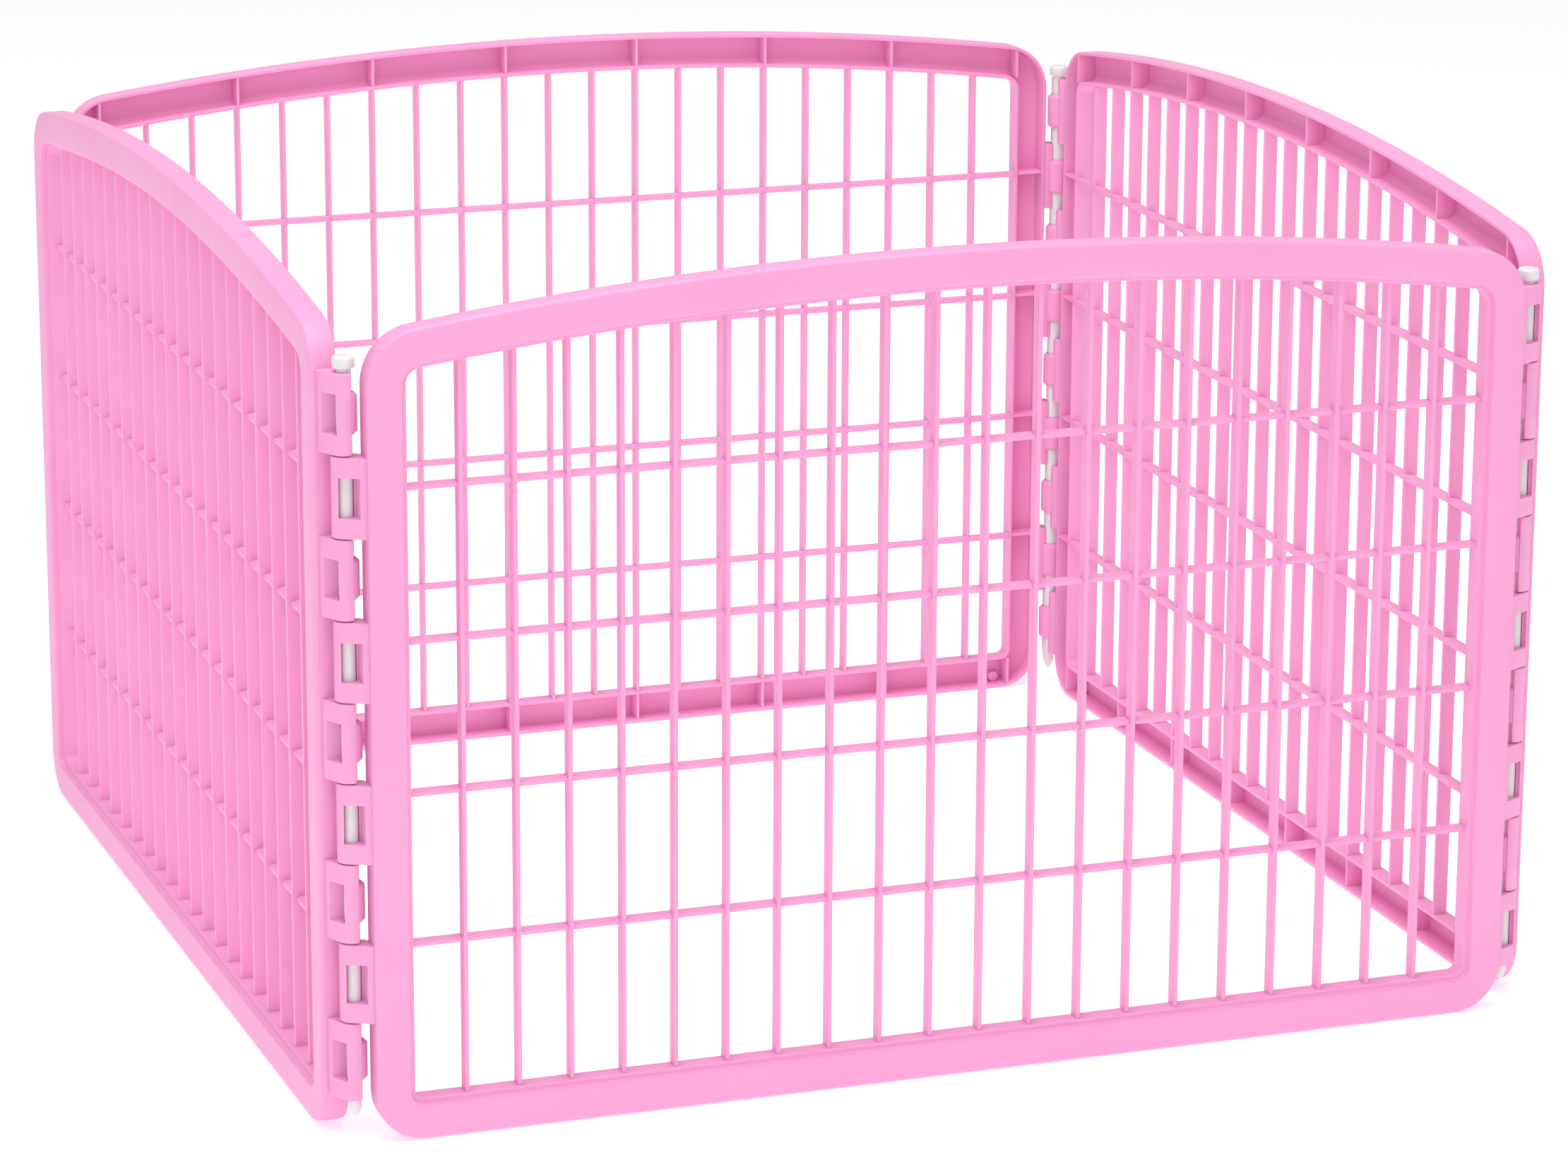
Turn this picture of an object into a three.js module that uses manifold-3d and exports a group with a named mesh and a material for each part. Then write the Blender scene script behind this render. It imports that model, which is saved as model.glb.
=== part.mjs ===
// Pet playpen: four identical moulded grille panels standing in a square, joined at the
// corners by four loose hinge rods. Millimetres, +Z up, the pen centred on the origin.
//
// Every panel is built once in its own frame: x runs along the panel from its middle, the
// hinge axes lie on y = 0 at both ends, the outside of the pen is -y, and z = 0 is the floor.
import * as THREE from 'three';
import { mergeVertices } from 'three/addons/utils/BufferGeometryUtils.js';
import Module from 'manifold-3d';

const wasm = await Module();
wasm.setup();
const { Manifold, Mesh } = wasm;

// ---- driving dimensions -------------------------------------------------------------------
const hingeSpacing = 867;       // hinge axis to hinge axis along one panel
const panelHeight = 592;        // floor to the crest of the arched top rail
const panelEndGap = 10.5;       // hinge axis to the panel's end wall
const insidePlane = -1;         // the panel's open side, just outside the hinge plane
const panelDepth = 19;          // open side to outside face
const archRadius = 2850;        // top rail, outer edge
const frameWidth = 28;          // rails and end columns, outer edge to opening
const lipWidth = 3.6;           // step all round the opening, seen from outside
const lipDepth = 5;             // how far the step is set back from the outside face
const wall = 2.8;               // moulded wall thickness
const edgeRound = 3;            // rounding of the outer edge of the outside face
const bottomCornerRadius = 34;
const topCornerRadius = 39;
const openingCornerRadius = 7;

const barCount = 20;            // upright bars
const rowCount = 4;             // crossbars
const firstRowHeight = 136.4;
const rowPitch = 106.2;
const barDepth = 11.2;
const rowDepth = 8.5;
const ribThickness = 2.2;
const ribbedBars = [3, 6, 9, 12, 15, 18];   // rail ribs stand behind these bars, 1 = left end

const knuckleSlots = 9;         // knuckle places up a corner, shared by two panels
const knucklePitch = 56.4;
const knuckleClearance = 1;     // left between neighbouring knuckles
const knuckleBottom = 29;
const knuckleRadius = 9.5;
const bridgeRadius = 8.8;
const knuckleRoot = 16;         // how far outside the hinge plane a knuckle springs
const bridgeChamfer = 2.2;      // the bridge's ends slope in by this much
const hookLip = 2.5;            // its hooks end this far inside the hinge plane
const windowReach = 6.6;        // its window's edges on both sides of the hinge axis
const windowFloor = 2.6;        // the window stops this far outside the hinge plane
const rodRadius = 5.25;
const boreClearance = 0.5;
const capRadius = 7.6;
const capHeight = 8;
const rodNeck = 3;              // rod left bare between the top knuckle and the cap
const rodTipDrop = 14.5;          // rod point below the lowest knuckle

// ---- sizes that follow --------------------------------------------------------------------
const hingeX = hingeSpacing / 2;
const endX = hingeX - panelEndGap;
const outsideFace = insidePlane - panelDepth;
const lipFace = outsideFace + lipDepth;
const openingHalf = endX - frameWidth;
const barPitch = (2 * openingHalf) / (barCount + 1);
const archCentre = panelHeight - archRadius;
const knuckleHeight = knucklePitch - knuckleClearance;
const knuckleTop = knuckleBottom + knuckleSlots * knucklePitch - knuckleClearance;
const boreRadius = rodRadius + boreClearance;
const weld = 1.4;               // how deep joined shapes run into each other

const archHeight = (x, inset) => archCentre + Math.sqrt((archRadius - inset) ** 2 - x * x);
const barX = (index) => (index - (barCount + 1) / 2) * barPitch;
const rowZ = (index) => firstRowHeight + index * rowPitch;

// ---- solids -------------------------------------------------------------------------------
function solid(geometry) {
  const plain = geometry.clone();
  plain.deleteAttribute('normal');
  plain.deleteAttribute('uv');
  const welded = mergeVertices(plain, 1e-4);
  return new Manifold(new Mesh({
    numProp: 3,
    vertProperties: new Float32Array(welded.attributes.position.array),
    triVerts: new Uint32Array(welded.index.array),
  }));
}

function boxSolid(x0, x1, y0, y1, z0, z1) {
  const box = new THREE.BoxGeometry(x1 - x0, y1 - y0, z1 - z0);
  box.translate((x0 + x1) / 2, (y0 + y1) / 2, (z0 + z1) / 2);
  return solid(box);
}

function joined(solids) {
  return solids.reduce((whole, piece) => whole.add(piece));
}

// A closed body through sections of equal point count. Each section is { at, points } with
// flat points [a, b]; `place` turns (a, b, at) into a position. The two end sections are capped.
function loftSolid(sections, place) {
  const count = sections[0].points.length;
  const corners = sections.flatMap(({ at, points }) => points.map(([a, b]) => place(a, b, at)));
  const index = [];
  for (let ring = 0; ring + 1 < sections.length; ring += 1) {
    for (let i = 0; i < count; i += 1) {
      const a = ring * count + i;
      const b = ring * count + ((i + 1) % count);
      index.push(a, b, b + count, a, b + count, a + count);
    }
  }
  const flat = sections[0].points.map(([a, b]) => new THREE.Vector2(a, b));
  const last = (sections.length - 1) * count;
  const anticlockwise = THREE.ShapeUtils.area(flat) > 0;
  for (const [a, b, c] of THREE.ShapeUtils.triangulateShape(flat, [])) {
    const [first, second] = anticlockwise ? [b, c] : [c, b];
    index.push(a, second, first, last + a, last + first, last + second);
  }
  const up = place(0, 0, sections[sections.length - 1].at).sub(place(0, 0, sections[0].at));
  const side = place(1, 0, 0).sub(place(0, 0, 0)).cross(place(0, 1, 0).sub(place(0, 0, 0)));
  const outward = (side.dot(up) > 0) === anticlockwise;
  const body = new THREE.BufferGeometry();
  body.setFromPoints(corners);
  body.setIndex(outward ? index : index.reverse());
  return solid(body);
}

const standing = (a, b, at) => new THREE.Vector3(a, b, at);     // sections stacked up z
const facing = (a, b, at) => new THREE.Vector3(a, at, b);       // sections stacked along y
const lying = (a, b, at) => new THREE.Vector3(at, a, b);        // sections stacked along x

// Two equal sections, from one end to the other.
function prismSolid(points, from, to, place) {
  return loftSolid([{ at: from, points }, { at: to, points }], place);
}

function arcPoints(centreA, centreB, radius, from, to, steps) {
  const points = [];
  for (let i = 0; i <= steps; i += 1) {
    const angle = from + ((to - from) * i) / steps;
    points.push([centreA + radius * Math.cos(angle), centreB + radius * Math.sin(angle)]);
  }
  return points;
}

// The panel's outline moved in by `inset`. Its corners shrink evenly from the outer radius
// to the radius of the opening.
function outline(inset) {
  const share = Math.min(inset / frameWidth, 1);
  const low = THREE.MathUtils.lerp(bottomCornerRadius, openingCornerRadius, share);
  const high = THREE.MathUtils.lerp(topCornerRadius, openingCornerRadius, share);
  const halfLength = endX - inset;
  const arch = archRadius - inset;
  const highX = halfLength - high;
  const highZ = archCentre + Math.sqrt((arch - high) ** 2 - highX ** 2);
  const archAngle = Math.atan2(highZ - archCentre, highX);
  const right = [
    ...arcPoints(halfLength - low, inset + low, low, -Math.PI / 2, 0, 6),
    ...arcPoints(highX, highZ, high, 0, archAngle, 6),
  ];
  const crown = arcPoints(0, archCentre, arch, archAngle, Math.PI - archAngle, 14).slice(1, -1);
  const left = right.map(([x, z]) => [-x, z]).reverse();
  return [...right, ...crown, ...left];
}

// ---- panel --------------------------------------------------------------------------------
// Rails and columns are one channel: closed outside, open towards the inside of the pen.
function frameSolid() {
  const roundSteps = 2;
  const rounded = [];
  for (let i = 0; i <= roundSteps; i += 1) {
    const angle = (Math.PI / 2) * (i / roundSteps);
    const at = outsideFace + edgeRound * (1 - Math.cos(angle));
    rounded.push({ at, points: outline(edgeRound * (1 - Math.sin(angle))) });
  }
  const block = loftSolid([...rounded, { at: insidePlane, points: outline(0) }], facing);
  const past = 3;
  const throughFrom = outsideFace - past;
  const throughTo = insidePlane + past;
  const faceEdge = frameWidth - lipWidth;
  const pocket = prismSolid(outline(wall), outsideFace + wall, throughTo, facing);
  const core = loftSolid([
    { at: throughFrom, points: outline(faceEdge - wall - 0.8) },
    { at: outsideFace + wall, points: outline(faceEdge - wall - 0.8) },
    { at: lipFace + wall, points: outline(frameWidth - wall) },
    { at: throughTo + 1, points: outline(frameWidth - wall) },
  ], facing);
  const lipStep = loftSolid([
    { at: throughFrom, points: outline(faceEdge - 0.7) },
    { at: outsideFace, points: outline(faceEdge - 0.7) },
    { at: outsideFace + 1, points: outline(faceEdge) },
    { at: lipFace, points: outline(faceEdge + 0.7) },
  ], facing);
  const opening = prismSolid(outline(frameWidth), throughFrom, throughTo, facing);
  return block
    .subtract(pocket.subtract(core))
    .add(ribSolid())
    .subtract(lipStep)
    .subtract(opening);
}

// Thin plates across the channel: behind every third bar, in line with both ends of the
// opening, and in line with every crossbar.
function ribSolid() {
  const y0 = outsideFace + wall - weld;
  const y1 = insidePlane - 0.6;
  const reach = endX + panelEndGap;
  const half = ribThickness / 2;
  const railRibs = [...ribbedBars.map(barX), -openingHalf - half, openingHalf + half].map((x) => {
    return boxSolid(x - half, x + half, y0, y1, -weld, panelHeight + weld);
  });
  const columnRibs = Array.from({ length: rowCount }, (_, row) => {
    return boxSolid(-reach, reach, y0, y1, rowZ(row) - half, rowZ(row) + half);
  });
  const channel = prismSolid(outline(weld), y0 - weld, y1 + weld, facing)
    .subtract(prismSolid(outline(frameWidth - weld), y0 - 2 * weld, y1 + 2 * weld, facing));
  return joined([...railRibs, ...columnRibs]).intersect(channel);
}

// An upright bar: a blade, a little wider outside than inside, from rail to rail.
function barSolid(x) {
  const outer = insidePlane - barDepth;
  const inner = insidePlane;
  const section = [[x - 1.25, inner], [x - 1.6, outer], [x + 1.6, outer], [x + 1.25, inner]];
  const top = archHeight(x, frameWidth - weld);
  return prismSolid(section, frameWidth - weld, top, standing);
}

// A crossbar: taller inside than outside, so that it leaves the mould.
function rowSolid(z) {
  const inner = insidePlane;
  const outer = insidePlane - rowDepth;
  const section = [[inner, z - 2.5], [inner, z + 2.5], [outer, z + 1.35], [outer, z - 1.35]];
  return prismSolid(section, -openingHalf - weld, openingHalf + weld, lying);
}

// ---- knuckles, at the right-hand end seen from outside --------------------------------------
// A knuckle holds the rod with half shells turned about: its top and bottom quarters wrap the
// outside of the rod, its middle has a window outside and a bridge inside.
function knuckleSolid(slot) {
  const z0 = knuckleBottom + slot * knucklePitch;
  const z1 = z0 + knuckleHeight;
  const windowFrom = z0 + knuckleHeight / 4;
  const windowTo = z1 - knuckleHeight / 4;
  const rootAngle = Math.atan2(-knuckleRoot, -panelEndGap);
  const rootReach = Math.hypot(panelEndGap, knuckleRoot);
  const tangentAngle = rootAngle + Math.acos(knuckleRadius / rootReach);
  const buriedX = endX - wall - weld;
  const shell = prismSolid([
    [buriedX, -knuckleRoot], [endX, -knuckleRoot],
    ...arcPoints(hingeX, 0, knuckleRadius, tangentAngle, Math.asin(hookLip / knuckleRadius), 4),
    [hingeX - bridgeRadius, hookLip], [endX, insidePlane - 0.3], [buriedX, insidePlane - 0.3],
  ], z0, z1, standing);
  const window = boxSolid(
    hingeX - windowReach, hingeX + windowReach, outsideFace, -windowFloor, windowFrom, windowTo,
  );
  const bridge = loftSolid([
    { at: windowFrom - 0.5, points: bridgeSection(bridgeRadius - bridgeChamfer) },
    { at: windowFrom + bridgeChamfer, points: bridgeSection(bridgeRadius) },
    { at: windowTo - bridgeChamfer, points: bridgeSection(bridgeRadius) },
    { at: windowTo + 0.5, points: bridgeSection(bridgeRadius - bridgeChamfer) },
  ], standing);
  return shell.subtract(window).add(bridge);
}

function bridgeSection(radius) {
  const back = -windowFloor / 2;
  const half = arcPoints(hingeX, 0, radius, 0, Math.PI, 5);
  return [...half, [hingeX - radius, back], [hingeX + radius, back]];
}

function boreSolid() {
  const bore = new THREE.CylinderGeometry(boreRadius, boreRadius, panelHeight, 10);
  bore.rotateX(Math.PI / 2);
  bore.translate(hingeX, 0, panelHeight / 2);
  return solid(bore);
}

// Odd places from the top belong to a panel's right-hand end, even places to its left.
function knuckleRow(firstSlot) {
  const knuckles = [];
  for (let slot = firstSlot; slot < knuckleSlots; slot += 2) {
    knuckles.push(knuckleSolid(slot));
  }
  return joined(knuckles).subtract(boreSolid());
}

function panelGeometry() {
  const bars = Array.from({ length: barCount }, (_, i) => barSolid(barX(i + 1)));
  const rows = Array.from({ length: rowCount }, (_, i) => rowSolid(rowZ(i)));
  const rightKnuckles = knuckleRow(0);
  const leftKnuckles = knuckleRow(1).mirror([1, 0, 0]);
  const panel = joined([frameSolid(), ...bars, ...rows, rightKnuckles, leftKnuckles]);
  return geometryOf(panel);
}

// ---- hinge rod, standing on z = 0 of the pen at its own axis ----------------------------------
function rodGeometry() {
  const tip = knuckleBottom - rodTipDrop;
  const capBottom = knuckleTop + rodNeck;
  const profile = [
    [0, tip], [1, tip + 0.4], [4.4, tip + 8], [4.6, tip + 11.5],
    [rodRadius, tip + 12.3], [rodRadius, capBottom], [capRadius, capBottom],
    [capRadius, capBottom + capHeight - 2], [capRadius - 0.6, capBottom + capHeight - 0.6],
    [capRadius - 2, capBottom + capHeight], [0, capBottom + capHeight],
  ];
  const rod = new THREE.LatheGeometry(profile.map(([r, z]) => new THREE.Vector2(r, z)), 14);
  rod.rotateX(Math.PI / 2);
  return geometryOf(solid(rod));
}

// ---- assembly -------------------------------------------------------------------------------
function geometryOf(body) {
  const mesh = body.getMesh();
  const geometry = new THREE.BufferGeometry();
  geometry.setAttribute('position', new THREE.BufferAttribute(mesh.vertProperties, 3));
  geometry.setIndex(new THREE.BufferAttribute(mesh.triVerts, 1));
  geometry.computeVertexNormals();
  return geometry;
}

const pink = new THREE.MeshStandardMaterial({ color: 0xf0a0cc, roughness: 0.45, metalness: 0 });
const white = new THREE.MeshStandardMaterial({ color: 0xe6e6e4, roughness: 0.4, metalness: 0 });

const pen = new THREE.Group();
pen.name = 'pet_playpen';

const panelShape = panelGeometry();
const rodShape = rodGeometry();
const panelNames = ['front_panel', 'right_panel', 'back_panel', 'left_panel'];
const rodNames = ['rod_front_right', 'rod_back_right', 'rod_back_left', 'rod_front_left'];
for (let side = 0; side < panelNames.length; side += 1) {
  const turned = new THREE.Group();
  turned.name = `side_${side + 1}`;
  turned.rotation.z = (side * Math.PI) / 2;
  const panel = new THREE.Mesh(panelShape, pink);
  panel.name = panelNames[side];
  panel.position.y = -hingeX;
  const rod = new THREE.Mesh(rodShape, white);
  rod.name = rodNames[side];
  rod.position.set(hingeX, -hingeX, 0);
  turned.add(panel, rod);
  pen.add(turned);
}

export default pen;
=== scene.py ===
# The looks of the pet playpen: four moulded grille panels and four hinge rods, in metres.
#
# One panel is modelled lying along x with its hinge axes on y = 0, its outside towards -y and
# its bottom edge on z = 0, and is copied round the square. The rod is modelled once and copied too.
import math

import bpy
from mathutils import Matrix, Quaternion, Vector


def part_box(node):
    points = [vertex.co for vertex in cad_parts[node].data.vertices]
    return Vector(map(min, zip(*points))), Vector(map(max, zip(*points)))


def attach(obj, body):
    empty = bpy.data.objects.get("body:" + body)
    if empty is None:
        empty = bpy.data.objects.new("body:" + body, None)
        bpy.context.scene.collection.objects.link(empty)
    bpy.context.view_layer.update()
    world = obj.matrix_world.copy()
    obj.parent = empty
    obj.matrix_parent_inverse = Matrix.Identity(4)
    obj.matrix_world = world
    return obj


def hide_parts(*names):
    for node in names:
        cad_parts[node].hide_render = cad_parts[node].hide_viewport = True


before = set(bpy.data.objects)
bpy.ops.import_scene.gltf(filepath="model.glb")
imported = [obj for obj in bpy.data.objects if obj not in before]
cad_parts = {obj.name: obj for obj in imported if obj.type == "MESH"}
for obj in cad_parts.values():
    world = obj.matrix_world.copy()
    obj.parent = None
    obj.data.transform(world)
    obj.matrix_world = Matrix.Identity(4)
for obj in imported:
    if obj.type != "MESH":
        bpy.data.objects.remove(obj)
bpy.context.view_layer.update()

PANELS = ["front_panel", "right_panel", "back_panel", "left_panel"]
RODS = ["rod_front_right", "rod_back_right", "rod_back_left", "rod_front_left"]

# ---- sizes --------------------------------------------------------------------------------
rod_low, rod_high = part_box("rod_front_right")
panel_low, panel_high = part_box("front_panel")

HINGE = (rod_low[0] + rod_high[0]) / 2      # hinge axes stand at +-HINGE in x and in y
HEIGHT = panel_high[2]                      # crest of the arched top rail
OUTSIDE = panel_low[1] + HINGE              # outside face, behind the hinge plane
INSIDE = -0.001                             # open side of the rails
SET_BACK = 0.0003                           # bars and knuckles stop this far short of it
END = HINGE - 0.0105                        # end wall of a panel

RAIL = 0.028                                # outer edge of the frame to its opening
WALL = 0.0028
LIP = 0.0036                                # step round the opening, seen from outside
LIP_DEPTH = 0.005
ARCH_RADIUS = 2.85
LOW_CORNER = 0.034
HIGH_CORNER = 0.0385
ARCH_CENTRE = HEIGHT - ARCH_RADIUS

BARS = 20
BAR_PITCH = 2 * (END - RAIL) / (BARS + 1)
BAR_WIDTH = 0.0032
BAR_DEPTH = 0.0112
BAR_TAPER = 0.78                            # inside width over outside width
ROWS = 4                                    # crossbars
ROW_PITCH = 0.1062
LOWEST_ROW = 0.1364
ROW_HEIGHTS = [LOWEST_ROW + number * ROW_PITCH for number in range(ROWS)]
ROW_THICKNESS = 0.005
ROW_DEPTH = 0.0085
ROW_TAPER = 0.54                            # outside thickness over inside thickness
BURIED = 0.0014                             # how far bars and crossbars run into the frame
SUNK = 0.0006                               # how far ribs and lugs run into its floor
RIBBED_BARS = range(3, BARS, 3)
RIB = 0.0022
LUG_RADIUS = 0.0044
LUG_HEIGHT = 0.0076
LUG_TIP = -0.0105
LUG_PLACE = 0.386                           # from the panel's middle
GATE_MARKS = [(2, 1), (19, 1), (11, 2), (10, 3), (2, 4), (19, 4)]     # bar and row
GATE_RADIUS = 0.0011
GATE_LENGTH = 0.0014

KNUCKLE_SLOTS = 9
KNUCKLE_PITCH = 0.0564
KNUCKLE_HEIGHT = 0.0554
KNUCKLE_QUARTER = KNUCKLE_HEIGHT / 4        # a hook; the middle is two quarters
KNUCKLE_BOTTOM = 0.029
KNUCKLE_RADIUS = 0.0095
KNUCKLE_ROOT = 0.016
BRIDGE_RADIUS = 0.0088
BRIDGE_SLOPE = 0.0022                       # at its two ends
HOOK_LIP = 0.0025
BORE = 0.00575
WINDOW_REACH = 0.0066                       # to each side of the hinge axis
WINDOW_FLOOR = -0.0026                      # the window stops here, outside the hinge plane
BRIDGE_FACE = -0.0013                       # the bridge starts here

ROD_RADIUS = 0.00525
CAP_RADIUS = 0.0076
CAP_HEIGHT = 0.008
CAP_ROUND = 0.0024
NECK_RADIUS = 0.0046                        # short neck between the shaft and the point
NECK_LENGTH = 0.0045
POINT = [(0.0055, 0.52), (0.0017, 0.5), (0.0008, 0.3)]      # each step's drop and narrowing
ROD_TIP = rod_low[2]
ROD_TOP = rod_high[2]
SHAFT_END = ROD_TIP + NECK_LENGTH + sum(drop for drop, narrowing in POINT)

Y_AXIS = (0, 1, 0)
Z_AXIS = (0, 0, 1)


def arch_height(x, inset=0.0):
    """Height of the arched top rail's outer edge at x, or of a line `inset` below it."""
    return ARCH_CENTRE + math.sqrt((ARCH_RADIUS - inset) ** 2 - x * x)


# ---- working by hand ------------------------------------------------------------------------
def deselect_all():
    """Leaves edit mode and deselects everything."""
    if bpy.context.object and bpy.context.object.mode == "EDIT":
        bpy.ops.object.mode_set(mode="OBJECT")
    bpy.ops.object.select_all(action="DESELECT")


def pick(piece):
    """Makes one piece the only one selected, and the active one."""
    deselect_all()
    piece.select_set(True)
    bpy.context.view_layer.objects.active = piece


def named(name):
    """Names the primitive that was just added."""
    piece = bpy.context.object
    piece.name = name
    piece.data.name = name
    return piece


def edit(piece, mode="FACE"):
    """Goes into edit mode on a piece with nothing selected."""
    pick(piece)
    bpy.ops.object.mode_set(mode="EDIT")
    bpy.ops.mesh.select_mode(type=mode)
    bpy.ops.mesh.select_all(action="DESELECT")


def done():
    bpy.ops.object.mode_set(mode="OBJECT")


def select_corners(piece, test):
    """Selects the corners whose place passes the test."""
    done()
    for corner in piece.data.vertices:
        corner.select = bool(test(corner.co))
    bpy.ops.object.mode_set(mode="EDIT")


def select_edges(piece, test):
    """Selects the edges whose two ends pass the test."""
    done()
    corners = piece.data.vertices
    for edge in piece.data.edges:
        first, last = (corners[i].co for i in edge.vertices)
        edge.select = bool(test(first, last))
    bpy.ops.object.mode_set(mode="EDIT")


def select_faces(piece, test):
    """Selects the faces whose middle and normal pass the test."""
    done()
    for face in piece.data.polygons:
        face.select = bool(test(face.center, face.normal))
    bpy.ops.object.mode_set(mode="EDIT")


def near(a, b, slack=0.00002):
    return abs(a - b) < slack


def settle(piece):
    """Puts a piece's place, turn and size into its mesh."""
    pick(piece)
    bpy.ops.object.transform_apply(location=True, rotation=True, scale=True)


def merge_and_face_out(piece):
    edit(piece)
    bpy.ops.mesh.select_all(action="SELECT")
    bpy.ops.mesh.remove_doubles(threshold=0.00001)
    bpy.ops.mesh.normals_make_consistent(inside=False)
    done()


def block(name, low, high):
    """A cube added at the middle of a space and sized to fill it."""
    deselect_all()
    middle = [(a + b) / 2 for a, b in zip(low, high)]
    size = [b - a for a, b in zip(low, high)]
    bpy.ops.mesh.primitive_cube_add(size=1, location=middle, scale=size)
    piece = named(name)
    settle(piece)
    return piece


def round_rod(name, radius, bottom, top, x=0.0, sides=32):
    """An upright cylinder on the hinge plane."""
    deselect_all()
    bpy.ops.mesh.primitive_cylinder_add(
        vertices=sides, radius=radius, depth=top - bottom, location=(x, 0, (bottom + top) / 2)
    )
    piece = named(name)
    settle(piece)
    return piece


def draw_outline(name, start, moves):
    """A line drawn from `start` by extruding its end corner, one move after another. A move is
    an offset, or (angle, centre) for an arc about an upright axis."""
    deselect_all()
    bpy.ops.mesh.primitive_plane_add(size=0.001, location=start)
    piece = named(name)
    settle(piece)
    edit(piece, "VERT")
    bpy.ops.mesh.select_all(action="SELECT")
    bpy.ops.mesh.merge(type="CENTER")
    for move in moves:
        if len(move) == 3:
            extrude(move)
        else:
            angle, centre = move
            spin_on(angle, centre, Z_AXIS, max(2, round(abs(angle) / math.radians(12))))
    bpy.ops.mesh.select_all(action="SELECT")
    bpy.ops.mesh.remove_doubles(threshold=0.000005)
    bpy.ops.mesh.edge_face_add()
    done()
    return piece


def extrude(offset):
    bpy.ops.mesh.extrude_region_move(TRANSFORM_OT_translate={"value": offset})


def spin_on(angle, centre, axis, steps):
    """Extrudes what is selected round an axis. The spin tool itself turns the other way."""
    bpy.ops.mesh.spin(steps=steps, angle=-angle, center=centre, axis=axis)


def round_corners(piece, radius, segments, places, slack=0.0002):
    """Rounds the corners of a flat outline that lie at the given places."""
    edit(piece, "VERT")
    select_corners(piece, lambda at: any((at - Vector(place)).length < slack for place in places))
    bpy.ops.mesh.bevel(offset=radius, segments=segments, affect="VERTICES")
    done()


def round_edges(piece, radius, segments, test):
    """Rounds the edges that pass the test."""
    edit(piece, "EDGE")
    select_edges(piece, test)
    bpy.ops.mesh.bevel(offset=radius, segments=segments, affect="EDGES", clamp_overlap=True)
    done()


def cut(piece, tool):
    """Takes the tool's shape out of a piece and throws the tool away."""
    pick(piece)
    modifier = piece.modifiers.new("cut", "BOOLEAN")
    modifier.operation = "DIFFERENCE"
    modifier.solver = "EXACT"
    modifier.object = tool
    bpy.ops.object.modifier_apply(modifier=modifier.name)
    throw_away(tool)


def throw_away(piece):
    bpy.data.objects.remove(piece, do_unlink=True)


def copy_of(piece, offset=(0, 0, 0), turn=(0, 0, 0)):
    """A copy with its own mesh, turned about the origin and then moved."""
    pick(piece)
    bpy.ops.object.duplicate(linked=False)
    twin = bpy.context.object
    twin.rotation_euler = turn
    twin.location = offset
    settle(twin)
    return twin


def mirror_copy(piece):
    """A copy at the other end of the panel."""
    pick(piece)
    bpy.ops.object.duplicate(linked=False)
    twin = bpy.context.object
    twin.scale = (-1, 1, 1)
    settle(twin)
    merge_and_face_out(twin)
    return twin


def join(name, pieces):
    """Joins pieces into one object."""
    pick(pieces[0])
    for piece in pieces[1:]:
        piece.select_set(True)
    bpy.ops.object.join()
    return named(name)


# ---- the channel frame of a panel ---------------------------------------------------------
def frame_section():
    """The channel's section in the bottom rail, drawn on the plane x = 0. Its height is the
    distance in from the frame's outer edge."""
    face_edge = RAIL - LIP
    lip_face = OUTSIDE + LIP_DEPTH
    floor = OUTSIDE + WALL
    corners = [
        (INSIDE, 0),
        (OUTSIDE, 0),
        (OUTSIDE, face_edge - 0.0008),
        (OUTSIDE + 0.0012, face_edge),
        (lip_face, face_edge + 0.0006),
        (lip_face, RAIL),
        (INSIDE, RAIL),
        (INSIDE, RAIL - WALL),
        (lip_face + WALL, RAIL - WALL),
        (floor, face_edge - WALL - 0.0008),
        (floor, WALL),
        (INSIDE, WALL),
    ]
    points = [Vector((0, depth, inset)) for depth, inset in corners]
    moves = [tuple(after - before) for before, after in zip(points, points[1:])]
    section = draw_outline("panel_frame", points[0], moves)
    round_corners(section, 0.003, 6, [points[1]])
    round_corners(section, 0.0007, 3, [points[5]])
    round_corners(section, 0.0006, 2, [points[i] for i in (0, 2, 3, 4, 6, 7, 8, 9, 10, 11)])
    return section


def sweep_frame(section):
    """Runs the section along the bottom rail, up the right column and along the arched top
    rail to the middle, and mirrors it."""
    column = END - LOW_CORNER
    high_x = END - HIGH_CORNER
    high_z = ARCH_CENTRE + math.sqrt((ARCH_RADIUS - HIGH_CORNER) ** 2 - high_x ** 2)
    shoulder = math.atan2(high_z - ARCH_CENTRE, high_x)
    quarter = math.pi / 2
    edit(section, "EDGE")
    bpy.ops.mesh.select_all(action="SELECT")
    bpy.ops.mesh.delete(type="ONLY_FACE")
    bpy.ops.mesh.select_all(action="SELECT")
    extrude((column, 0, 0))
    spin_on(-quarter, (column, 0, LOW_CORNER), Y_AXIS, 10)
    extrude((0, 0, high_z - LOW_CORNER))
    spin_on(-shoulder, (high_x, 0, high_z), Y_AXIS, 10)
    spin_on(shoulder - quarter, (0, 0, ARCH_CENTRE), Y_AXIS, 16)
    done()
    mirror = section.modifiers.new("other half", "MIRROR")
    mirror.use_axis = (True, False, False)
    mirror.merge_threshold = 0.00001
    pick(section)
    bpy.ops.object.modifier_apply(modifier=mirror.name)
    merge_and_face_out(section)
    return section


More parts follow.
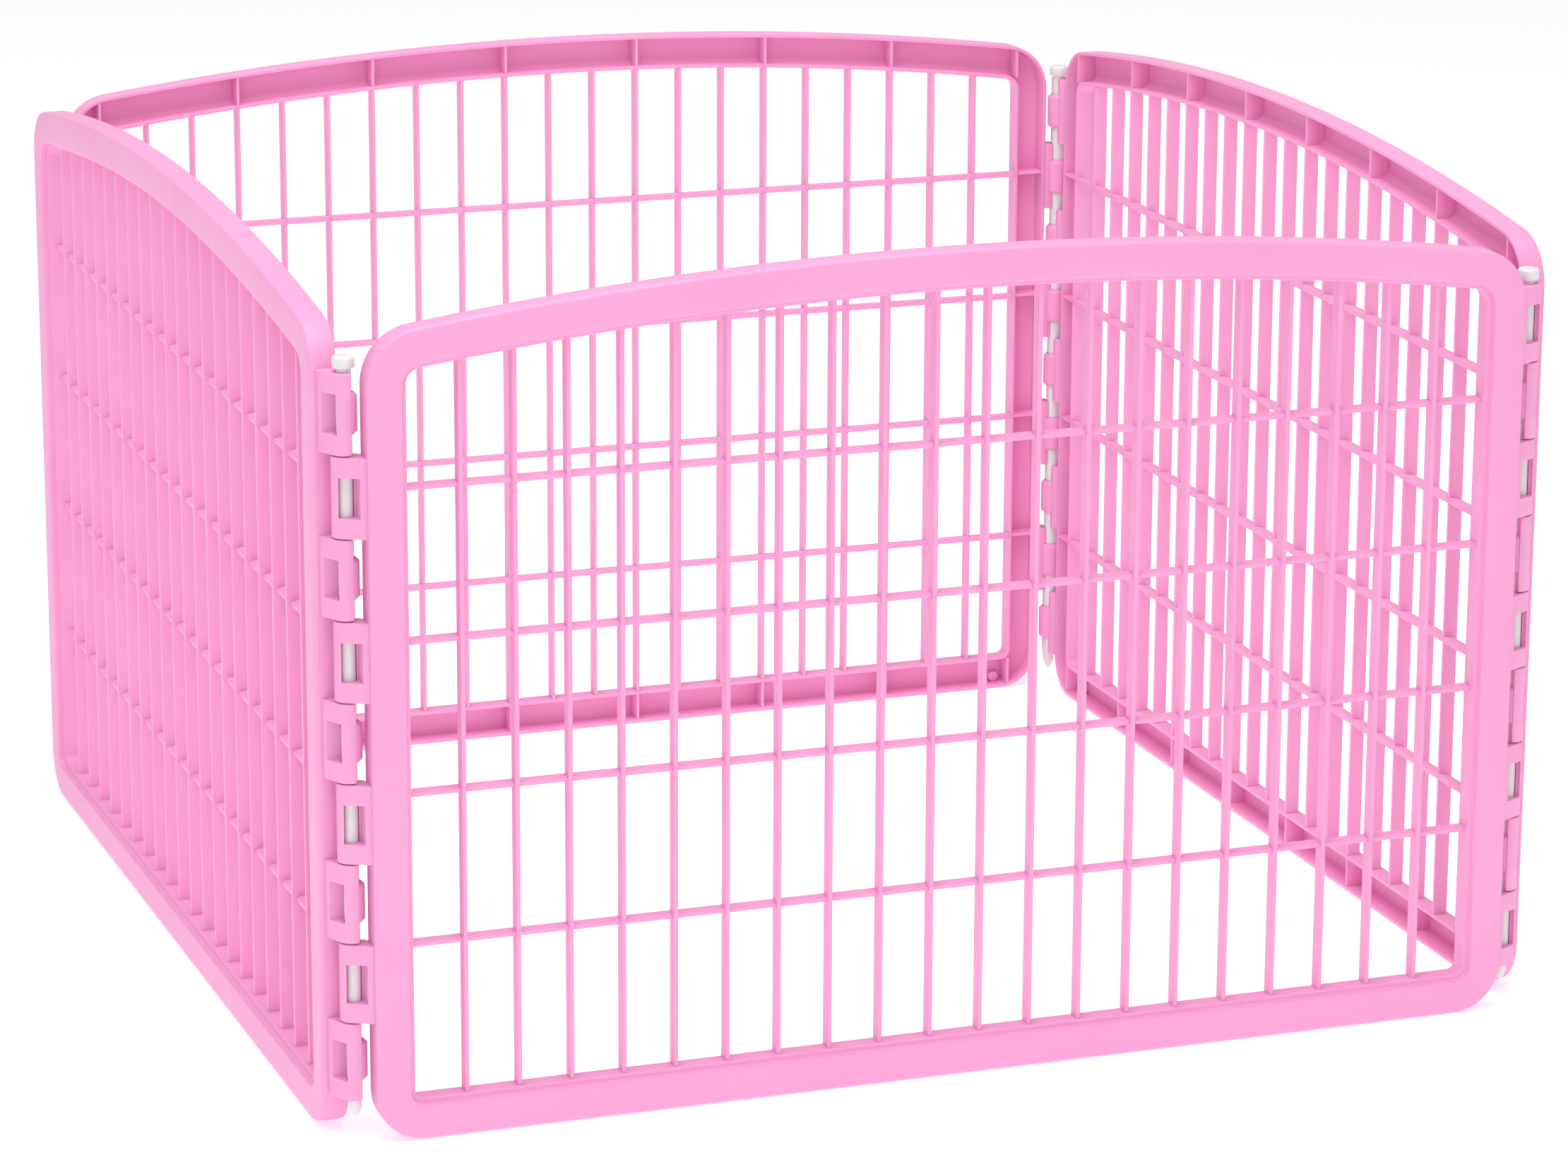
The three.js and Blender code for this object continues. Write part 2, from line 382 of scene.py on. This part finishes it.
# ---- bars, crossbars and ribs -------------------------------------------------------------
def make_bar():
    """An upright bar at the middle of the panel, a little wider outside than inside."""
    outer = INSIDE - BAR_DEPTH
    half = BAR_WIDTH / 2
    foot = RAIL - BURIED
    bar = block("bar", (-half, outer, foot), (half, INSIDE - SET_BACK, arch_height(0, foot)))
    edit(bar)
    select_faces(bar, lambda middle, normal: normal.y > 0.9)
    bpy.ops.transform.resize(value=(BAR_TAPER, 1, 1))
    done()
    round_edges(bar, 0.0006, 3, lambda a, b: near(a.x, b.x) and near(a.y, b.y))
    return bar


def bars_in_place(bar):
    """The bars across the opening. Each reaches up to the arch at its own place."""
    bars = []
    for number in range(BARS):
        x = (number - (BARS - 1) / 2) * BAR_PITCH
        twin = copy_of(bar, (x, 0, 0))
        edit(twin, "VERT")
        select_corners(twin, lambda at: at.z > HEIGHT / 2)
        bpy.ops.transform.translate(value=(0, 0, arch_height(x) - HEIGHT))
        done()
        bars.append(twin)
    throw_away(bar)
    return bars


def make_row():
    """A crossbar on z = 0, taller inside than outside."""
    reach = END - RAIL + BURIED
    outer = INSIDE - ROW_DEPTH
    half = ROW_THICKNESS / 2
    row = block("crossbar", (-reach, outer, -half), (reach, INSIDE - 0.00015, half))
    edit(row)
    select_faces(row, lambda middle, normal: normal.y < -0.9)
    bpy.ops.transform.resize(value=(1, 1, ROW_TAPER))
    done()
    round_edges(row, 0.0005, 3, lambda a, b: near(a.z, b.z) and near(a.y, b.y))
    return row


def make_rib():
    """A stiffening rib across the bottom rail's channel, at x = 0."""
    half = RIB / 2
    foot = OUTSIDE + WALL - SUNK
    low = (-half, foot, WALL / 2)
    high = (half, INSIDE - 0.0006, RAIL - 0.0018)
    rib = block("rib", low, high)
    edit(rib)
    bpy.ops.mesh.select_all(action="SELECT")
    bpy.ops.mesh.bisect(
        plane_co=(0, foot, RAIL - LIP - WALL),
        plane_no=(0, -0.66, 0.75), use_fill=True, clear_outer=True,
    )
    done()
    round_edges(
        rib, 0.0004, 2,
        lambda a, b: near(a.y, high[1]) and near(b.y, high[1]) and near(a.x, b.x),
    )
    return rib


def ribs_in_place(rib):
    """Ribs behind every third bar, in line with both ends of the opening and with each row."""
    places = [(number - (BARS + 1) / 2) * BAR_PITCH for number in RIBBED_BARS]
    places += [-(END - RAIL) - RIB / 2, END - RAIL + RIB / 2]
    ribs = []
    for x in places:
        ribs.append(copy_of(rib, (x, 0, 0)))
        ribs.append(copy_of(rib, (x, 0, arch_height(x)), (0, math.pi, 0)))
    for z in ROW_HEIGHTS:
        ribs.append(copy_of(rib, (END, 0, z), (0, -math.pi / 2, 0)))
        ribs.append(copy_of(rib, (-END, 0, z), (0, math.pi / 2, 0)))
    throw_away(rib)
    return ribs


def make_lug():
    """A small round stop that stands on the floor of the bottom rail's channel, at x = 0."""
    deselect_all()
    foot = OUTSIDE + WALL - SUNK
    bpy.ops.mesh.primitive_cylinder_add(
        vertices=28, radius=LUG_RADIUS, depth=LUG_TIP - foot,
        location=(0, (foot + LUG_TIP) / 2, LUG_HEIGHT), rotation=(math.pi / 2, 0, 0),
    )
    lug = named("lug")
    settle(lug)
    round_edges(lug, 0.0006, 2, lambda a, b: near(a.y, LUG_TIP) and near(b.y, LUG_TIP))
    return lug


def make_gate_mark():
    """The small round stub that moulding leaves, on the outside of a bar at x = z = 0."""
    deselect_all()
    face = INSIDE - BAR_DEPTH
    bpy.ops.mesh.primitive_cylinder_add(
        vertices=16, radius=GATE_RADIUS, depth=GATE_LENGTH,
        location=(0, face + 0.0002, 0), rotation=(math.pi / 2, 0, 0),
    )
    mark = named("gate_mark")
    settle(mark)
    round_edges(mark, 0.0004, 2, lambda a, b: a.y < face and b.y < face)
    return mark


def gate_marks_in_place(mark):
    marks = []
    for bar, row in GATE_MARKS:
        x = (bar - (BARS + 1) / 2) * BAR_PITCH
        marks.append(copy_of(mark, (x, 0, ROW_HEIGHTS[row - 1] - 0.0015)))
    throw_away(mark)
    return marks


# ---- knuckles -----------------------------------------------------------------------------
def make_knuckle():
    """The lowest knuckle at the right-hand end. Its top and bottom quarters hook round the
    outside of the rod; its middle has a window outside and a bridge inside."""
    bottom = KNUCKLE_BOTTOM
    top = bottom + KNUCKLE_HEIGHT
    gap = HINGE - END
    root_angle = math.atan2(-KNUCKLE_ROOT, -gap)
    reach = math.hypot(gap, KNUCKLE_ROOT)
    tangent = root_angle + math.acos(KNUCKLE_RADIUS / reach)
    far = math.asin(HOOK_LIP / KNUCKLE_RADIUS)
    axis = Vector((HINGE, 0, bottom))
    on_shell = axis + KNUCKLE_RADIUS * Vector((math.cos(tangent), math.sin(tangent), 0))
    far_lip = axis + KNUCKLE_RADIUS * Vector((math.cos(far), math.sin(far), 0))
    near_lip = Vector((HINGE - BRIDGE_RADIUS, HOOK_LIP, bottom))
    buried = END - WALL * 0.7
    start = Vector((buried, -KNUCKLE_ROOT, bottom))
    root = Vector((END, -KNUCKLE_ROOT, bottom))
    inner = Vector((END, INSIDE - SET_BACK, bottom))
    end = Vector((buried, INSIDE - SET_BACK, bottom))
    moves = [
        tuple(root - start),
        tuple(on_shell - root),
        (far - tangent, axis),
        tuple(near_lip - far_lip),
        tuple(inner - near_lip),
        tuple(end - inner),
    ]
    knuckle = draw_outline("knuckle", start, moves)
    edit(knuckle)
    bpy.ops.mesh.select_all(action="SELECT")
    extrude((0, 0, KNUCKLE_HEIGHT))
    bpy.ops.mesh.select_all(action="SELECT")
    bpy.ops.mesh.normals_make_consistent(inside=False)
    done()
    round_edges(knuckle, 0.0007, 3, lambda a, b: near(a.z, b.z) and a.x + b.x > 2 * END + 0.0001)
    cut(knuckle, round_rod("bore", BORE, bottom - 0.01, top + 0.01, HINGE))
    cut(knuckle, make_window(bottom, top))
    return join("knuckle", [knuckle, make_bridge(bottom, top)])


def make_window(bottom, top):
    """The block that is cut out of the outside of a knuckle's middle."""
    low = (HINGE - WINDOW_REACH, OUTSIDE - 0.002, bottom + KNUCKLE_QUARTER)
    high = (HINGE + WINDOW_REACH, WINDOW_FLOOR, top - KNUCKLE_QUARTER)
    window = block("window", low, high)
    round_edges(window, 0.0005, 2, lambda a, b: near(a.x, b.x) and near(a.z, b.z))
    return window


def make_bridge(bottom, top):
    """The half shell on the inside of a knuckle's middle, with sloped and softened ends."""
    low = bottom + KNUCKLE_QUARTER - 0.0004
    high = top - KNUCKLE_QUARTER + 0.0004
    bridge = round_rod("bridge", BRIDGE_RADIUS, low, high, HINGE)
    round_edges(bridge, BRIDGE_SLOPE, 1, lambda a, b: near(a.z, b.z))
    round_edges(
        bridge, 0.0005, 2,
        lambda a, b: near(a.z, b.z) and near((a.xy - Vector((HINGE, 0))).length, BRIDGE_RADIUS),
    )
    edit(bridge)
    bpy.ops.mesh.select_all(action="SELECT")
    bpy.ops.mesh.bisect(
        plane_co=(HINGE, BRIDGE_FACE, 0), plane_no=Y_AXIS, use_fill=True, clear_inner=True
    )
    done()
    cut(bridge, round_rod("bore", BORE, bottom, top, HINGE))
    return bridge


def knuckles_in_place(knuckle):
    """Every other place up a corner, from the lowest at the right-hand end and from the second
    at the left."""
    other_end = mirror_copy(knuckle)
    knuckles = []
    for slot in range(KNUCKLE_SLOTS):
        pattern = knuckle if slot % 2 == 0 else other_end
        knuckles.append(copy_of(pattern, (0, 0, slot * KNUCKLE_PITCH)))
    throw_away(knuckle)
    throw_away(other_end)
    return knuckles


# ---- panel and rod ------------------------------------------------------------------------
def make_panel():
    pieces = [sweep_frame(frame_section())]
    pieces += bars_in_place(make_bar())
    row = make_row()
    pieces += [copy_of(row, (0, 0, z)) for z in ROW_HEIGHTS]
    throw_away(row)
    pieces += ribs_in_place(make_rib())
    lug = make_lug()
    pieces += [copy_of(lug, (x, 0, 0)) for x in (-LUG_PLACE, LUG_PLACE)]
    throw_away(lug)
    pieces += gate_marks_in_place(make_gate_mark())
    pieces += knuckles_in_place(make_knuckle())
    panel = join("panel", pieces)
    pick(panel)
    bpy.ops.object.shade_smooth_by_angle(angle=math.radians(32))
    return panel


def on_cap_rim(at, height):
    return near(at.xy.length, CAP_RADIUS) and near(at.z, height)


def make_rod():
    """A hinge rod on the axis x = y = 0: shaft, rounded cap, short neck and blunt point."""
    cap_bottom = ROD_TOP - CAP_HEIGHT
    rod = round_rod("rod", ROD_RADIUS, SHAFT_END, cap_bottom, sides=40)
    edit(rod)
    select_faces(rod, lambda middle, normal: normal.z > 0.9)
    widen = CAP_RADIUS / ROD_RADIUS
    bpy.ops.mesh.extrude_region_move()
    bpy.ops.transform.resize(value=(widen, widen, 1))
    extrude((0, 0, CAP_HEIGHT))
    bpy.ops.mesh.inset(thickness=CAP_RADIUS * 0.75)
    select_faces(rod, lambda middle, normal: normal.z < -0.9 and near(middle.z, SHAFT_END))
    bpy.ops.mesh.inset(thickness=ROD_RADIUS - NECK_RADIUS)
    extrude((0, 0, -NECK_LENGTH))
    for drop, narrowing in POINT:
        extrude((0, 0, -drop))
        bpy.ops.transform.resize(value=(narrowing, narrowing, 1))
    done()
    round_edges(rod, CAP_ROUND, 6, lambda a, b: on_cap_rim(a, ROD_TOP) and on_cap_rim(b, ROD_TOP))
    round_edges(
        rod, 0.0005, 2,
        lambda a, b: on_cap_rim(a, cap_bottom) and on_cap_rim(b, cap_bottom),
    )
    merge_and_face_out(rod)
    pick(rod)
    bpy.ops.object.shade_smooth_by_angle(angle=math.radians(35))
    return rod


# ---- materials ----------------------------------------------------------------------------
class Recipe:
    """A new material with its Principled shader, and short ways to add and link nodes."""

    def __init__(self, name):
        self.material = bpy.data.materials.new(name)
        self.material.use_nodes = True
        self.nodes = self.material.node_tree.nodes
        self.links = self.material.node_tree.links
        self.shader = self.nodes["Principled BSDF"]
        self.place = self.nodes.new("ShaderNodeTexCoord").outputs["Object"]

    def noise(self, scale, detail=3.0, roughness=0.5):
        node = self.nodes.new("ShaderNodeTexNoise")
        node.inputs["Scale"].default_value = scale
        node.inputs["Detail"].default_value = detail
        node.inputs["Roughness"].default_value = roughness
        self.links.new(self.place, node.inputs["Vector"])
        return node.outputs["Fac"]

    def between(self, value, low, high):
        """Spreads a noise's middle range over low to high."""
        node = self.nodes.new("ShaderNodeMapRange")
        node.inputs["From Min"].default_value = 0.3
        node.inputs["From Max"].default_value = 0.7
        node.inputs["To Min"].default_value = low
        node.inputs["To Max"].default_value = high
        self.links.new(value, node.inputs["Value"])
        return node.outputs["Result"]

    def two_tone(self, value, first, second):
        node = self.nodes.new("ShaderNodeMix")
        node.data_type = "RGBA"
        node.inputs["A"].default_value = (*first, 1)
        node.inputs["B"].default_value = (*second, 1)
        self.links.new(self.between(value, 0, 1), node.inputs["Factor"])
        return node.outputs["Result"]

    def bump(self, height, depth, strength, under=None):
        node = self.nodes.new("ShaderNodeBump")
        node.inputs["Distance"].default_value = depth
        node.inputs["Strength"].default_value = strength
        self.links.new(height, node.inputs["Height"])
        if under:
            self.links.new(under, node.inputs["Normal"])
        return node.outputs["Normal"]


def moulded_plastic(name, tones, roughness, translucence, grain):
    """Opaque injection-moulded polypropylene: faintly uneven colour and gloss, a slow sink-mark
    waviness and a fine grain. `tones` are its two nearly equal colours, `translucence` is how much
    of the light goes in under its skin, and `grain` is the fineness of its surface."""
    recipe = Recipe(name)
    shader = recipe.shader
    colour = recipe.two_tone(recipe.noise(7.0), *tones)
    recipe.links.new(colour, shader.inputs["Base Color"])
    gloss = recipe.between(recipe.noise(60.0, 4.0, 0.6), *roughness)
    recipe.links.new(gloss, shader.inputs["Roughness"])
    waves = recipe.bump(recipe.noise(22.0, 1.0), 0.0006, 0.25)
    skin = recipe.bump(recipe.noise(grain, 2.0, 0.6), 0.00008, 0.35, waves)
    recipe.links.new(skin, shader.inputs["Normal"])
    shader.inputs["Subsurface Weight"].default_value = translucence
    shader.inputs["Subsurface Radius"].default_value = (1.0, 0.7, 0.85)
    shader.inputs["Subsurface Scale"].default_value = 0.003
    shader.inputs["IOR"].default_value = 1.49
    return recipe.material


def finish_piece(piece, material, body):
    piece.data.materials.clear()
    piece.data.materials.append(material)
    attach(piece, body)
    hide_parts(body)


# ---- the pen ------------------------------------------------------------------------------
pink_plastic = moulded_plastic(
    "pink polypropylene", ((0.860, 0.350, 0.615), (0.875, 0.375, 0.635)), (0.42, 0.52), 0.3, 900.0
)
white_plastic = moulded_plastic(
    "white polypropylene", ((0.735, 0.735, 0.730), (0.760, 0.760, 0.760)), (0.34, 0.44), 0.2, 1200.0
)

panel_pattern = make_panel()
rod_pattern = make_rod()
for side, (panel_body, rod_body) in enumerate(zip(PANELS, RODS)):
    turn = side * math.pi / 2
    along = Vector((math.cos(turn), math.sin(turn), 0))
    outwards = Vector((math.sin(turn), -math.cos(turn), 0))
    panel = copy_of(panel_pattern, HINGE * outwards, (0, 0, turn))
    panel.name = panel_body + "_moulding"
    finish_piece(panel, pink_plastic, panel_body)
    rod = copy_of(rod_pattern, HINGE * (along + outwards), (0, 0, turn))
    rod.name = rod_body + "_pin"
    finish_piece(rod, white_plastic, rod_body)
throw_away(panel_pattern)
throw_away(rod_pattern)


# ---- floor, lights and camera ---------------------------------------------------------------
def make_floor():
    deselect_all()
    bpy.ops.mesh.primitive_plane_add(size=60, location=(0, 0, -0.0005))
    floor = named("studio_floor")
    recipe = Recipe("white floor")
    recipe.shader.inputs["Roughness"].default_value = 0.9
    recipe.shader.inputs["Emission Color"].default_value = (1, 1, 1, 1)
    recipe.shader.inputs["Emission Strength"].default_value = 0.4
    recipe.shader.inputs["Specular IOR Level"].default_value = 0.1
    colour = recipe.two_tone(recipe.noise(0.6), (0.93, 0.93, 0.93), (0.94, 0.94, 0.94))
    recipe.links.new(colour, recipe.shader.inputs["Base Color"])
    floor.data.materials.append(recipe.material)


def softbox(name, place, size, power, aim=(0, 0, 0.3)):
    """A square area light that looks at the aim."""
    bpy.ops.object.light_add(type="AREA", location=place)
    lamp = bpy.context.object
    lamp.name = name
    lamp.data.shape = "SQUARE"
    lamp.data.size = size
    lamp.data.energy = power
    direction = Vector(aim) - Vector(place)
    lamp.rotation_euler = direction.to_track_quat("-Z", "Y").to_euler()


def white_surroundings(strength):
    world = bpy.data.worlds.new("white studio")
    world.use_nodes = True
    background = world.node_tree.nodes["Background"]
    background.inputs["Color"].default_value = (1, 1, 1, 1)
    background.inputs["Strength"].default_value = strength
    bpy.context.scene.world = world


def place_camera():
    """A long lens from in front, to the left and above."""
    heading = 0.3461
    pitch = -0.2671
    roll = 0.005
    ahead = Vector((
        math.sin(heading) * math.cos(pitch),
        math.cos(heading) * math.cos(pitch),
        math.sin(pitch),
    ))
    bpy.ops.object.camera_add(location=(-1.3596, -3.8567, 1.3599))
    camera = bpy.context.object
    camera.data.sensor_width = 36
    camera.data.lens = 126.85
    camera.rotation_mode = "QUATERNION"
    camera.rotation_quaternion = ahead.to_track_quat("-Z", "Y") @ Quaternion(Z_AXIS, roll)
    bpy.context.scene.camera = camera


deselect_all()
make_floor()
white_surroundings(0.5)
softbox("key_softbox", (-2.2, -4.6, 2.0), 3.0, 30)
softbox("fill_softbox", (3.6, -2.4, 1.8), 2.2, 7)
softbox("top_softbox", (-0.4, -0.6, 3.4), 3.0, 88)
place_camera()
bpy.context.scene.view_settings.view_transform = "Standard"       # keeps the whites white
